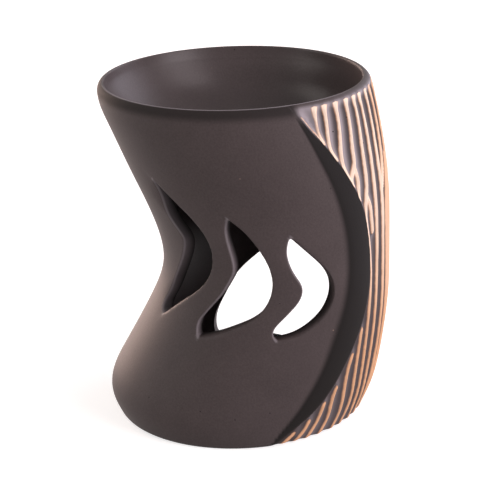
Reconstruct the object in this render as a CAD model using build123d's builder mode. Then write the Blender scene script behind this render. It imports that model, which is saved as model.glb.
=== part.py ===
from build123d import *
from math import cos, radians, sin
import os

# Essential oil burner: one slip-cast, glazed ceramic piece with an open bowl on top, a hollow bent body
# with three curved cut-outs in front, a fluted panel on its right side and an arch at the back, through
# which a standard tealight slides in under the bowl. Millimetres, +Z up, front towards -Y. The origin is
# on the table, in the middle of the burner's length and width.

os.makedirs("parts", exist_ok=True)

# Overall size
height = 120.0
width = 100.9
depth = 95.1
overrun = 2.0

# Walls of the casting
wall = 4.5
floor_thickness = 6.0
floor_round = 4.0
bowl_thickness = 4.0
bowl_depth = 25.5
bowl_round = 19.0
lip_outer_round = 2.4
lip_inner_round = 0.8
foot_width = 7.0
foot_hollow = 1.5

# The smooth shell stands proud of the fluted panel by this much at mid height
shell_step = 3.0

# Level cuts of the body. Each row holds the level as a share of the height, the reach to the left and to
# the right as shares of half the width, the reach to the front as a share of half the depth, and how much
# of the step the shell has there.
level_shares = (
    (0.000, 0.937, 0.790, 0.963, 0.27),
    (0.050, 1.000, 0.847, 0.995, 0.33),
    (0.167, 0.915, 0.925, 0.993, 0.63),
    (0.333, 0.695, 0.984, 0.951, 0.93),
    (0.458, 0.584, 0.998, 0.924, 1.00),
    (0.583, 0.623, 1.000, 0.936, 1.00),
    (0.750, 0.792, 0.964, 0.971, 0.80),
    (0.917, 0.962, 0.905, 1.000, 0.43),
    (1.000, 0.982, 0.861, 0.994, 0.27),
)

# Fluted panel
flute_pitch_angle = 6.5
flute_pairs = 10
flute_radius = 2.4
flute_depth = 1.7
flute_top_margin = 2.7

# Crease where the smooth shell rolls in to the flutes: the angle of its flat from +X, and the line that
# it draws, as shares of half the width and of the height, from the table up to where the flutes end
crease_angle = 78.0
crease_shares = (
    (0.476, 0.000),
    (0.718, 0.096),
    (0.894, 0.250),
    (0.975, 0.500),
    (0.916, 0.733),
)
crease_top_share = 0.650

# Cut-outs, from left to right: the angle from the front, the height of the tip and the drop from tip to
# heel as shares of the height, and the outline: across from the middle line as a share of the width, and
# down from the tip as a share of the drop. Its points are the tip, three along the right lip, the heel,
# one on the left lip, the knee and one more.
cutout_shares = (
    (-40.0, 0.770, 0.428, (
        (-0.0255, 0.0), (0.0953, 0.204), (0.1574, 0.465), (0.0734, 0.751),
        (-0.0993, 1.0), (-0.0408, 0.704), (0.0525, 0.397), (-0.0082, 0.212),
    )),
    (-8.0, 0.690, 0.373, (
        (-0.0098, 0.0), (0.0781, 0.21), (0.1270, 0.502), (0.0653, 0.786),
        (-0.1487, 1.0), (-0.0675, 0.679), (0.0089, 0.397), (-0.0129, 0.196),
    )),
    (27.0, 0.635, 0.303, (
        (-0.0794, 0.0), (0.0130, 0.242), (0.0754, 0.555), (0.0278, 0.816),
        (-0.1407, 1.0), (-0.0851, 0.747), (-0.0296, 0.522), (-0.0754, 0.28),
    )),
)
tip_round = 0.9
knee_round = 3.0
edge_round = 0.8

# Arch at the back, through which the tealight goes in. Its foot ends clear of the foot of the crease.
arch_width = 43.9
arch_height = 43.0
arch_crease_gap = 2.46
arch_lean = 9.4
arch_bulge = 3.4
arch_flank_share = 0.56
arch_foot_round = 5.0
arch_top_round = 9.0
arch_reach = 26.0

# Tealight
cup_diameter = 38.0
cup_height = 14.0
cup_foot_diameter = 36.4
cup_foil = 0.4
cup_bead = 0.9
cup_foot_round = 1.6
cup_push_up = 0.8
cup_push_up_diameter = 29.0
tealight_aside = 1.4
tealight_y = -4.5
wax_fill = 11.4
wax_meniscus = 0.7
wick_diameter = 1.5
wick_height = 19.5
wick_tip = 0.4
tab_diameter = 12.6
tab_sheet = 0.3
collar_diameter = 2.9
collar_height = 3.4


def level_cuts(proud, inset, sunk):
    """Level, middle, half width and half depth of each cut through a form that follows the body."""
    cuts = []
    for level_share, left_share, right_share, depth_share, step_share in level_shares:
        left = left_share * width / 2
        right = right_share * width / 2 + proud * step_share
        taken_in = inset + sunk * step_share
        level = level_share * height
        cuts.append((level, (right - left) / 2, (right + left) / 2 - taken_in, depth_share * depth / 2 - taken_in))
    return cuts


def above(cuts):
    """The same cuts, with the last one repeated above the rim, for a tool that runs past it."""
    level, middle, across, deep = cuts[-1]
    return cuts + [(level + overrun, middle, across, deep)]


def skin_edges(edges, start, highest, drop):
    """Of a pocket's edges, those on the body's skin: well clear of the plane that the pocket starts from, and
    nowhere above or below its outline, as seams of the skin are."""
    kept = []
    for edge in edges:
        corners = [start.to_local_coords(corner.center()) for corner in edge.vertices()]
        if all(corner.Z > overrun and highest - drop - overrun < corner.Y < highest + overrun for corner in corners):
            kept.append(edge)
    return kept


# Smooth shell: the outer form, all round
with BuildPart() as smooth_shell:
    for level, middle, across, deep in level_cuts(shell_step, 0, 0):
        with BuildSketch(Plane.XY.offset(level)):
            with Locations((middle, 0)):
                Ellipse(across, deep)
    loft()

# Fluted core: the same form, sunk by the step, with a round-bottomed flute every few degrees
flute_lift = flute_radius - flute_depth
with BuildPart() as fluted_core:
    for level, middle, across, deep in level_cuts(shell_step, 0, shell_step):
        with BuildSketch(Plane.XY.offset(level)):
            with Locations((middle, 0)):
                Ellipse(across, deep)
    loft()
    for flute in range(2 * flute_pairs):
        azimuth = radians(90 + flute_pitch_angle * (flute + 0.5 - flute_pairs))
        for level, middle, across, deep in level_cuts(shell_step, -flute_lift, shell_step):
            with BuildSketch(Plane.XY.offset(level)):
                with Locations((middle + across * sin(azimuth), -deep * cos(azimuth))):
                    Circle(flute_radius)
        loft(mode=Mode.SUBTRACT)

# Inside of the bowl, and the form of its underside
with BuildPart() as bowl_inside:
    for level, middle, across, deep in above(level_cuts(0, wall, 0)):
        with BuildSketch(Plane.XY.offset(level)):
            with Locations((middle, 0)):
                Ellipse(across, deep)
    loft()
    split(bisect_by=Plane.XY.offset(height - bowl_depth), keep=Keep.TOP)
    fillet(bowl_inside.faces().sort_by(Axis.Z)[0].edges(), bowl_round)

with BuildPart() as bowl_outside:
    for level, middle, across, deep in above(level_cuts(0, wall - bowl_thickness, 0)):
        with BuildSketch(Plane.XY.offset(level)):
            with Locations((middle, 0)):
                Ellipse(across, deep)
    loft()
    split(bisect_by=Plane.XY.offset(height - bowl_depth - bowl_thickness), keep=Keep.TOP)
    fillet(bowl_outside.faces().sort_by(Axis.Z)[0].edges(), bowl_round + bowl_thickness)

# Room under the bowl, from the floor up to the bowl's underside
with BuildPart() as chamber:
    for level, middle, across, deep in level_cuts(0, wall, 0):
        with BuildSketch(Plane.XY.offset(level)):
            with Locations((middle, 0)):
                Ellipse(across, deep)
    loft()
    split(bisect_by=Plane.XY.offset(floor_thickness), keep=Keep.TOP)
    fillet(chamber.faces().sort_by(Axis.Z)[0].edges(), floor_round)
    add(bowl_outside.part, mode=Mode.SUBTRACT)

# Burner body
waist_middle, waist_across = level_cuts(0, wall, 0)[4][1:3]
cutout_reach = waist_across - overrun
flute_top = height - flute_top_margin
crease = [(reach_share * width / 2, level_share * height) for reach_share, level_share in crease_shares]
crease.append((crease_top_share * width / 2, flute_top))
arch_middle = crease[0][0] - arch_crease_gap - arch_width / 2
with BuildPart() as burner_body:
    add(smooth_shell.part)
    for side in (-1, 1):
        crease_across = (sin(radians(crease_angle)), side * cos(radians(crease_angle)), 0)
        crease_along = (side * cos(radians(crease_angle)), -sin(radians(crease_angle)), 0)
        with BuildSketch(Plane(origin=(0, 0, 0), x_dir=crease_across, z_dir=crease_along)):
            with BuildLine():
                Spline(crease)
                Polyline(crease[-1], (width, flute_top), (width, -overrun), (crease[0][0], -overrun), crease[0])
            make_face()
        extrude(amount=depth, both=True, mode=Mode.SUBTRACT)
    add(fluted_core.part)

    fillet(burner_body.faces().sort_by(Axis.Z)[-1].edges(), lip_outer_round)

    # Cut-outs, each square to the wall at its middle, with soft outer edges
    for azimuth, tip_share, drop_share, outline_shares in cutout_shares:
        turn = radians(azimuth)
        tip_height = tip_share * height
        drop = drop_share * height
        outwards = (sin(turn), -cos(turn), 0)
        face_on = Plane(origin=(waist_middle, 0, tip_height), x_dir=(cos(turn), sin(turn), 0), z_dir=outwards)
        outline = [(across * width, -down * drop) for across, down in outline_shares]
        with BuildSketch(face_on.offset(cutout_reach)) as cutout:
            with BuildLine():
                Spline(outline[0:5])
                ThreePointArc(*outline[4:7])
                ThreePointArc(outline[6], outline[7], outline[0])
            make_face()
            fillet(cutout.vertices().sort_by_distance(outline[6])[0], knee_round)
            fillet(cutout.vertices().sort_by(Axis.Y)[0], tip_round)
            fillet(cutout.vertices().sort_by(Axis.Y)[-1], tip_round)
        extrude(amount=depth / 2, mode=Mode.SUBTRACT)
        fillet(skin_edges(burner_body.edges(Select.LAST), face_on.offset(cutout_reach), 0, drop), edge_round)

    # Arch at the back. Seen from behind, it leans to the left.
    backwards = Plane(origin=(arch_middle, arch_reach, floor_thickness), x_dir=(-1, 0, 0), z_dir=(0, 1, 0))
    flank = arch_flank_share * arch_height
    with BuildSketch(backwards) as arch:
        with BuildLine():
            foot_left = (-arch_width / 2, 0)
            foot_right = (arch_width / 2, 0)
            arch_top = (-arch_lean, arch_height)
            ThreePointArc(foot_right, (foot_right[0] - arch_lean, flank + arch_bulge), arch_top)
            ThreePointArc(arch_top, (foot_left[0] - arch_bulge, flank), foot_left)
            Line(foot_left, foot_right)
        make_face()
        fillet(arch.vertices().sort_by(Axis.Y)[0:2], arch_foot_round)
        fillet(arch.vertices().sort_by(Axis.Y)[-1], arch_top_round)
    extrude(amount=depth / 2, mode=Mode.SUBTRACT)
    fillet(skin_edges(burner_body.edges(Select.LAST), backwards, arch_height, arch_height), edge_round)

    # Room, bowl and the hollow of the foot
    add(chamber.part, mode=Mode.SUBTRACT)
    add(bowl_inside.part, mode=Mode.SUBTRACT)
    fillet(burner_body.edges(Select.LAST).sort_by(Axis.Z)[-1], lip_inner_round)
    foot_level, foot_middle, foot_across, foot_deep = level_cuts(0, foot_width, 0)[0]
    with BuildSketch(Plane.XY.offset(foot_level)):
        with Locations((foot_middle, 0)):
            Ellipse(foot_across, foot_deep)
    extrude(amount=foot_hollow, mode=Mode.SUBTRACT)

# Tealight cup: drawn foil with a pushed-up bottom and a rolled bead at its rim, in line with the arch
tealight_x = arch_middle + tealight_aside
seat = Plane(origin=(tealight_x, tealight_y, floor_thickness), x_dir=(1, 0, 0), z_dir=(0, -1, 0))
bead_radius = cup_bead / 2
foot_radius = cup_foot_diameter / 2
bead_middle = cup_diameter / 2 - bead_radius
with BuildPart() as tealight_cup:
    with BuildSketch(seat) as foil:
        with BuildLine():
            Polyline(
                (0, cup_push_up), (cup_push_up_diameter / 2, cup_push_up),
                (cup_push_up_diameter / 2 + cup_push_up, 0), (foot_radius, 0),
                (bead_middle, cup_height - bead_radius), (bead_middle - cup_foil, cup_height - bead_radius),
                (foot_radius - cup_foil, cup_foil), (cup_push_up_diameter / 2 + cup_push_up, cup_foil),
                (cup_push_up_diameter / 2, cup_push_up + cup_foil), (0, cup_push_up + cup_foil),
                close=True,
            )
        make_face()
        fillet(foil.vertices().sort_by_distance((foot_radius, 0))[0], cup_foot_round)
        fillet(foil.vertices().sort_by_distance((foot_radius - cup_foil, cup_foil))[0], cup_foot_round - cup_foil)
        with Locations((bead_middle, cup_height - bead_radius)):
            Circle(bead_radius)
    revolve(axis=Axis(seat.origin, (0, 0, 1)))

# Wick tab: a thin disc with a collar that holds the wick upright, on the pushed-up bottom
tab_level = cup_push_up + cup_foil
with BuildPart() as tealight_wick_tab:
    with BuildSketch(seat):
        with BuildLine():
            Polyline(
                (wick_diameter / 2, tab_level), (tab_diameter / 2, tab_level),
                (tab_diameter / 2, tab_level + tab_sheet), (collar_diameter / 2, tab_level + tab_sheet),
                (collar_diameter / 2, tab_level + collar_height), (wick_diameter / 2, tab_level + collar_height),
                close=True,
            )
        make_face()
    revolve(axis=Axis(seat.origin, (0, 0, 1)))

with BuildPart() as tealight_wick:
    with BuildSketch(Plane.XY.offset(floor_thickness + tab_level)):
        with Locations((tealight_x, tealight_y)):
            Circle(wick_diameter / 2)
    extrude(amount=wick_height - tab_level)
    fillet(tealight_wick.edges().sort_by(Axis.Z)[-1], wick_tip)

# Wax: it fills the cup round the tab and the wick, a little lower in the middle than at the foil
with BuildPart() as tealight_wax:
    with BuildSketch(seat) as poured:
        with BuildLine():
            risen = (wax_fill - cup_foil) / (cup_height - bead_radius - cup_foil)
            wax_edge = (foot_radius - cup_foil + risen * (bead_middle - foot_radius), wax_fill)
            wax_middle = (wick_diameter / 2, wax_fill - wax_meniscus)
            ThreePointArc(wax_middle, (wax_edge[0] / 2, wax_fill - wax_meniscus), wax_edge)
            Polyline(
                wax_edge, (foot_radius - cup_foil, cup_foil), (cup_push_up_diameter / 2 + cup_push_up, cup_foil),
                (cup_push_up_diameter / 2, tab_level), (tab_diameter / 2, tab_level),
                (tab_diameter / 2, tab_level + tab_sheet), (collar_diameter / 2, tab_level + tab_sheet),
                (collar_diameter / 2, tab_level + collar_height), (wick_diameter / 2, tab_level + collar_height),
                wax_middle,
            )
        make_face()
        fillet(poured.vertices().sort_by_distance((foot_radius - cup_foil, cup_foil))[0], cup_foot_round - cup_foil)
    revolve(axis=Axis(seat.origin, (0, 0, 1)))

for piece, label in (
    (burner_body, "burner_body"),
    (tealight_cup, "tealight_cup"),
    (tealight_wick_tab, "tealight_wick_tab"),
    (tealight_wick, "tealight_wick"),
    (tealight_wax, "tealight_wax"),
):
    piece.part.label = label
    export_step(piece.part, "parts/" + label + ".step")
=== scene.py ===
"""Essential oil burner: the dressed model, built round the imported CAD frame."""

import logging
from dataclasses import dataclass, field
from enum import Enum

import bpy
import numpy as np
from mathutils import Matrix, Vector
from mathutils.bvhtree import BVHTree

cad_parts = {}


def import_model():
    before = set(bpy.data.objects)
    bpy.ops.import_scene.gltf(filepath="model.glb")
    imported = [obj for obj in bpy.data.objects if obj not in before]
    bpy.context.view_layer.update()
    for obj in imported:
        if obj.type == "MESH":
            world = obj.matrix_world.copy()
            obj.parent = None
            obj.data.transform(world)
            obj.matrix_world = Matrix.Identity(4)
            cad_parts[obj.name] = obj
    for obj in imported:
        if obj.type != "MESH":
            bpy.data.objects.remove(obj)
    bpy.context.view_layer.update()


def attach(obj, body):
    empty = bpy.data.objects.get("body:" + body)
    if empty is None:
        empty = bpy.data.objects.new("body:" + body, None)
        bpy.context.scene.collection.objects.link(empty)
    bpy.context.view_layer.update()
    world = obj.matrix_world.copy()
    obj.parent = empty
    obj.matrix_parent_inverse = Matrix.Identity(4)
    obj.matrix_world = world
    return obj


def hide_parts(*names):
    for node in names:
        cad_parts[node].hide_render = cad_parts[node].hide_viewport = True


log = logging.getLogger("oil_burner")
MM = 0.001
Piece, Material = bpy.types.Object, bpy.types.Material
Tree, Socket = bpy.types.ShaderNodeTree, bpy.types.NodeSocket


# Small helpers

def linear(hex_code: str) -> tuple[float, float, float, float]:
    """Turns an sRGB hex colour into the linear colour that a shader reads.

    Args:
        hex_code: six hex digits, with or without a leading hash.

    Returns:
        Linear red, green, blue and an alpha of one.
    """
    digits = hex_code.lstrip("#")
    channels = [int(digits[at:at + 2], 16) / 255 for at in (0, 2, 4)]
    return tuple(c / 12.92 if c <= 0.04045 else ((c + 0.055) / 1.055) ** 2.4 for c in channels) + (1.0,)


def per_metre(millimetres: float) -> float:
    """The scale at which a noise or cell pattern on Object coordinates has features of this size."""
    return 1 / (millimetres * MM)


def bands_per_metre(millimetres: float) -> float:
    """The scale at which a wave's diagonal bands, one for each 0.2 pi of x + y + z, lie this far apart."""
    return 0.2 * np.pi / (np.sqrt(3) * millimetres * MM)


def step(low: float, high: float, value: np.ndarray) -> np.ndarray:
    """A smooth rise from 0 at low to 1 at high, or a fall where low is the larger one."""
    share = np.clip((value - low) / (high - low), 0.0, 1.0)
    return share * share * (3 - 2 * share)


def folded(turn: np.ndarray) -> np.ndarray:
    """The turn of the same place in the front half, which the back half of the right side mirrors."""
    return np.where(turn > 90, 180 - turn, turn)


class Table:
    """A smooth curve through measured rows of (place, value)."""

    def __init__(self, rows: tuple[tuple[float, float], ...]) -> None:
        """Fits a natural cubic spline.

        Args:
            rows: the measured pairs, in rising order of place.
        """
        self.place, self.value = np.array(rows, dtype=float).T
        count, gap = len(self.place), np.diff(self.place)
        system, right = np.eye(count), np.zeros(count)
        for row in range(1, count - 1):
            system[row, row - 1:row + 2] = gap[row - 1], 2 * (gap[row - 1] + gap[row]), gap[row]
            right[row] = 6 * np.diff(np.diff(self.value[row - 1:row + 2]) / gap[row - 1:row + 1])[0]
        self.bend = np.linalg.solve(system, right)

    def __call__(self, place: np.ndarray | float) -> np.ndarray:
        """The value at one place or many.

        Args:
            place: where on the curve, held to its ends.

        Returns:
            The value there, in the same shape.
        """
        place = np.clip(np.asarray(place, dtype=float), self.place[0], self.place[-1])
        low = np.clip(np.searchsorted(self.place, place) - 1, 0, len(self.place) - 2)
        gap = self.place[low + 1] - self.place[low]
        before, after = (self.place[low + 1] - place) / gap, (place - self.place[low]) / gap
        curved = (before ** 3 - before) * self.bend[low] + (after ** 3 - after) * self.bend[low + 1]
        return before * self.value[low] + after * self.value[low + 1] + curved * gap ** 2 / 6


def curve_through(points: np.ndarray, count: int) -> np.ndarray:
    """Evenly spaced points on a smooth curve through the given ones.

    Args:
        points: the points to pass, one row each.
        count: how many points to return.

    Returns:
        The curve's points, one row each.
    """
    run = np.concatenate(([0.0], np.cumsum(np.linalg.norm(np.diff(points, axis=0), axis=1))))
    tables = [Table(tuple(zip(run, column))) for column in points.T]
    fine = np.stack([table(np.linspace(0, run[-1], 600)) for table in tables], axis=1)
    length = np.concatenate(([0.0], np.cumsum(np.linalg.norm(np.diff(fine, axis=0), axis=1))))
    wanted = np.linspace(0, length[-1], count)
    return np.stack([np.interp(wanted, length, column) for column in fine.T], axis=1)


def deselect_all() -> None:
    """Leaves nothing selected, so that an operator acts on the next primitive alone."""
    bpy.ops.object.select_all(action="DESELECT")


def take_up(piece: Piece) -> None:
    """Makes one piece the only selected and the active one.

    Args:
        piece: the piece to work on.
    """
    deselect_all()
    piece.select_set(True)
    bpy.context.view_layer.objects.active = piece


def pulled_form(name: str, rings: np.ndarray) -> Piece:
    """Pulls up a closed form ring by ring, as on a wheel: a circle is extruded once for each ring.

    Args:
        name: the object's name.
        rings: for each ring, its points in millimetres, in one turning order.

    Returns:
        The closed mesh object, at the origin.
    """
    deselect_all()
    bpy.ops.mesh.primitive_circle_add(vertices=rings.shape[1], radius=1.0, fill_type="NOTHING")
    form = bpy.context.object
    form.name = form.data.name = name
    bpy.ops.object.mode_set(mode="EDIT")
    bpy.ops.mesh.select_all(action="SELECT")
    bpy.ops.mesh.edge_face_add()
    for _ in range(rings.shape[0] - 1):
        bpy.ops.mesh.extrude_region_move(TRANSFORM_OT_translate={"value": (0, 0, 1)})
    bpy.ops.object.mode_set(mode="OBJECT")
    stack = np.empty(len(form.data.vertices) * 3)
    form.data.vertices.foreach_get("co", stack)
    x, y, z = stack.reshape(-1, 3).T
    # The stack's height gives each vertex its ring, and its angle gives its place in it.
    in_ring = np.rint(np.mod(np.arctan2(y, x) + 1e-6, 2 * np.pi) * 1e5)
    order = np.lexsort((in_ring, np.rint(z).astype(int)))
    places = np.empty((len(order), 3))
    places[order] = rings.reshape(-1, 3) * MM
    form.data.vertices.foreach_set("co", places.ravel())
    form.location = (0, 0, 0)
    recalculate(form)
    return form


def recalculate(piece: Piece) -> None:
    """Turns a closed mesh's faces outwards.

    Args:
        piece: the piece whose normals are recalculated.
    """
    take_up(piece)
    bpy.ops.object.mode_set(mode="EDIT")
    bpy.ops.mesh.select_all(action="SELECT")
    bpy.ops.mesh.normals_make_consistent(inside=False)
    bpy.ops.object.mode_set(mode="OBJECT")


def carve(piece: Piece, tool: Piece) -> None:
    """Cuts a closed tool out of a piece and removes the tool.

    Args:
        piece: the piece that is cut.
        tool: the closed form to take away.
    """
    take_up(piece)
    cut = piece.modifiers.new("cut", "BOOLEAN")
    cut.operation, cut.solver, cut.object = "DIFFERENCE", "MANIFOLD", tool
    bpy.ops.object.modifier_apply(modifier=cut.name)
    bpy.data.objects.remove(tool)


def new_material(name: str) -> tuple[Material, Tree]:
    """An empty node material and its tree.

    Args:
        name: the material's name.

    Returns:
        The material and its node tree.
    """
    material = bpy.data.materials.new(name)
    material.use_nodes = True
    material.node_tree.nodes.clear()
    return material, material.node_tree


def add_node(tree: Tree, kind: str, settings: dict | None = None, **inputs: object) -> bpy.types.Node:
    """Adds a shader node with its settings, values and links.

    Args:
        tree: the material's node tree.
        kind: the node's type name, without the ShaderNode prefix.
        settings: attributes of the node itself.
        inputs: for each input, by name with spaces as underscores or by number as i0, a value or the output
            socket that feeds it.

    Returns:
        The new node.
    """
    node = tree.nodes.new("ShaderNode" + kind)
    for name, value in (settings or {}).items():
        setattr(node, name, value)
    for name, value in inputs.items():
        numbered = name[0] == "i" and name[1:].isdigit()
        socket = node.inputs[int(name[1:])] if numbered else node.inputs[name.replace("_", " ")]
        if isinstance(value, Socket):
            tree.links.new(value, socket)
        else:
            socket.default_value = value
    return node


# The burner's form, in millimetres and degrees

@dataclass(frozen=True)
class BurnerForm:
    """The bent body's level cuts and the two lines of its rolled edge, from the table top up.

    left, right and deep are how far a level cut reaches to the left, to the right and to the front. sunk is
    how far the fluted panel lies under the shell. The rolled edge runs from the turn shoulder to crease.
    """

    left: Table = Table(((0, -47.25), (6, -50.3), (20, -46.15), (40, -35.05), (55, -29.45), (70, -31.45),
                         (90, -39.95), (107, -47.3), (113.5, -49.8), (117, -50.35), (120, -50.4)))
    right: Table = Table(((0, 39.85), (6, 42.75), (20, 46.8), (40, 49.8), (55, 50.4), (70, 50.5), (80, 50.3),
                          (90, 49.5), (110, 46.3), (120, 44.2)))
    deep: Table = Table(((0, 46.3), (6, 47.4), (20, 47.2), (40, 45.2), (55, 43.95), (70, 44.5),
                         (90, 46.15), (110, 47.6), (120, 47.85)))
    sunk: Table = Table(((0, 0.4), (6, 1.0), (20, 1.9), (40, 2.8), (55, 3.0), (70, 3.0), (90, 2.4),
                         (110, 1.3), (120, 0.8)))
    shoulder: Table = Table(((0, 24.5), (6, 28.0), (12, 31.4), (18, 33.8), (25, 36.0), (38, 38.1), (48, 40.5),
                             (59, 42.7), (68, 43.3), (82, 42.6), (92, 41.3), (101, 39.2), (110, 37.0),
                             (117, 34.4), (120, 33.0)))
    crease: Table = Table(((0, 26.6), (5.5, 35.0), (10, 41.3), (16, 47.0), (24, 52.0), (34, 57.2), (44, 61.5),
                           (52, 63.4), (60, 63.8), (70, 62.9), (80, 60.3), (93, 53.5), (100, 48.8),
                           (106, 44.4), (117, 36.5), (120, 34.0)))

    def cut(self, level: np.ndarray | float) -> tuple[np.ndarray, np.ndarray, np.ndarray]:
        """Middle, half width and half depth of the shell's ellipse at a level."""
        left, right = self.left(level), self.right(level) + self.sunk(level)
        return (left + right) / 2, (right - left) / 2, self.deep(level)

    def ring(self, turn: np.ndarray, level: np.ndarray | float, inset: np.ndarray | float) -> np.ndarray:
        """One ring of points round the body.

        Args:
            turn: the angles from the front towards the right, in degrees.
            level: the height above the table.
            inset: how far inside the shell's ellipse the points lie.

        Returns:
            One row of x, y, z for each angle.
        """
        middle, across, deep = self.cut(level)
        angle = np.radians(turn)
        return np.stack([middle + (across - inset) * np.sin(angle), -(deep - inset) * np.cos(angle),
                         np.full_like(angle, level)], axis=1)

    def turn_of(self, points: np.ndarray) -> np.ndarray:
        """The angle from the front, in degrees, at which points of the body lie."""
        middle, across, deep = self.cut(points[:, 2])
        return np.degrees(np.arctan2((points[:, 0] - middle) / across, -points[:, 1] / deep))


@dataclass(frozen=True)
class FlutedPanel:
    """The gouged panel on the right: the crests left standing between the gouges, hand-drawn and uneven.

    Each crest is a row of (level, turn from the front), from its lower end up. Where two crests meet, the
    gouge between them runs out in a fork. The half that faces the back mirrors these crests, each with a sway
    of its own, and the middle ones stand between the halves.
    """

    crests: tuple[tuple[tuple[float, float], ...], ...] = (
        ((105.8, 45.2), (108.4, 43.1), (111.6, 40.7), (115.5, 38.0)),
        ((105.8, 45.4), (109.1, 44.2), (112.9, 44.3), (119.6, 45.3)),
        ((99.6, 49.4), (102.2, 48.1), (106.2, 48.0), (112.6, 49.4), (119.6, 50.3)),
        ((91.1, 54.6), (95.0, 53.0), (99.9, 52.8), (108.2, 55.1), (119.6, 56.6)),
        ((88.5, 55.5), (92.0, 56.4), (94.8, 58.7), (100.3, 60.3), (109.7, 62.2), (119.6, 63.2)),
        ((83.7, 58.5), (86.7, 59.4), (90.9, 60.0), (94.8, 59.2)),
        ((-1, 71.1), (12.1, 69.6), (24.1, 67.3), (38.1, 65.5), (56, 65.3), (69, 63.5), (76.1, 62.6),
         (81.3, 63.6), (86.4, 65.5), (98.4, 66.9), (110.3, 68.6), (119.6, 68.9)),
        ((70.6, 67.8), (76.9, 67.3), (81.1, 66.5), (83.3, 65.1)),
        ((-1, 77.0), (5, 76.3), (17.2, 74.2), (36.2, 72.0), (53, 71.6), (71, 72.4), (85.5, 72.6),
         (104.4, 73.6), (119.6, 74.0)),
        ((-1, 83.6), (16.3, 82.1), (31.3, 80.6), (48.1, 80.0), (69.1, 80.4), (83.7, 80.6), (95.7, 80.0),
         (108.5, 80.8), (119.6, 80.8)),
        ((-1, 63.6), (8, 64.8), (19.1, 62.8), (31.1, 61.1), (36.4, 60.9)),
        ((-1, 57.4), (5, 59.0), (14.1, 57.7), (24.1, 56.5), (27.9, 57.2)),
        ((-1, 49.4), (6.5, 51.8), (14, 51.1), (17.4, 51.6)),
        ((-1, 42.4), (6, 45.9), (12.5, 46.9)),
        ((-1, 35.9), (4, 40.3), (6.9, 41.4)),
        ((-1, 29.5), (1.3, 32.6), (3.4, 35.1)),
    )
    middle_crests: tuple[tuple[tuple[float, float], ...], ...] = (
        ((83, 81.2), (86.5, 83.6), (91.5, 85.8), (98.5, 87.2), (105, 87.9), (113, 87.9), (119.6, 87.3)),
        ((-1, 90.8), (40, 89.9), (66, 90.0), (79, 90.4), (88, 93.0), (92.5, 95.0)),
    )
    half_width: Table = Table(((-1, 0.70), (30, 0.78), (55, 0.95), (92, 0.98), (104, 0.80), (112, 0.68),
                               (116, 0.92), (118.5, 1.35), (120, 1.5)))
    narrow_turn: float = 40.0
    full_turn: float = 49.0
    full_turn_shift: float = 4.5
    even_below: float = 40.0
    side_wear: float = 0.45
    narrow_share: float = 0.32
    mirror_sway: float = 0.7
    millimetres_per_degree: float = 0.83
    gouge_reach: float = 2.7
    gouge_depth: float = 1.55
    crest_round: float = 0.4
    top: float = 119.0
    top_run: float = 3.6
    crease_run: float = 2.0
    foot_share: float = 0.5
    foot_run: float = 9.0

    def lines(self) -> list[Table]:
        """All the crests as smooth lines from level to turn, both halves.

        Returns:
            One line for each crest.
        """
        front = [Table(crest) for crest in self.crests + self.middle_crests]
        back = [Table(tuple((level, 180 - turn + self.mirror_sway * np.sin(0.11 * level + turn))
                            for level, turn in crest)) for crest in self.crests]
        return front + back

    def from_crest(self, turn: np.ndarray, level: np.ndarray) -> tuple[np.ndarray, np.ndarray]:
        """How far points of the panel lie from the nearest crest's line, and where across their gouge.

        Args:
            turn: the points' angles from the front, in degrees.
            level: their heights above the table.

        Returns:
            The distances in millimetres, and the shares across the gouge, 0 at its left and 1 at its right.
        """
        on_left, on_right = np.full(np.shape(turn), 50.0), np.full(np.shape(turn), 50.0)
        for line in self.lines():
            at = np.clip(level, line.place[0], line.place[-1])
            lean = (line(at + 0.5) - line(at - 0.5)) * self.millimetres_per_degree
            across = (turn - line(at)) * self.millimetres_per_degree / np.hypot(1, lean)
            apart = np.hypot(across, level - at)
            on_left = np.where(across > 0, np.minimum(on_left, apart), on_left)
            on_right = np.where(across > 0, on_right, np.minimum(on_right, apart))
        return np.minimum(on_left, on_right), on_left / (on_left + on_right)

    def gouge(self, apart: np.ndarray, level: np.ndarray, from_crease: np.ndarray) -> np.ndarray:
        """How deep the panel is gouged at points.

        Args:
            apart: how far they lie from the nearest crest.
            level: their heights above the table.
            from_crease: how far inside the panel's crease they lie.

        Returns:
            The depths in millimetres.
        """
        away = np.hypot(apart, self.crest_round) - self.crest_round
        fall = 1 - (1 - np.clip(away / self.gouge_reach, 0, 1)) ** 2
        ends = step(0.0, self.crease_run, from_crease) * step(self.top, self.top - self.top_run, level)
        foot = self.foot_share + (1 - self.foot_share) * step(0.0, self.foot_run, level)
        return self.gouge_depth * fall * ends * foot

    def bare_width(self, turn: np.ndarray, level: np.ndarray) -> np.ndarray:
        """Half the width of bare clay along a crest: broadest at its head and on the side of the burner.

        Args:
            turn: the points' angles from the front, in degrees.
            level: their heights above the table.

        Returns:
            The half widths in millimetres, for a point that lies on a crest.
        """
        # In the panel's front corner the crests are thin lines. Just under the lip that corner is smaller.
        full_turn = self.full_turn - self.full_turn_shift * step(112, 116, level)
        share = self.narrow_share + (1 - self.narrow_share) * step(self.narrow_turn, full_turn, folded(turn))
        # The crests that face sideways stand out most, so there the glaze is rubbed off them furthest.
        wear_and_highlight = 1 + self.side_wear * step(77, 86, folded(turn)) * step(96, 70, level)
        return self.half_width(level) * np.where(level < self.even_below, 1.0, share) * wear_and_highlight


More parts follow.
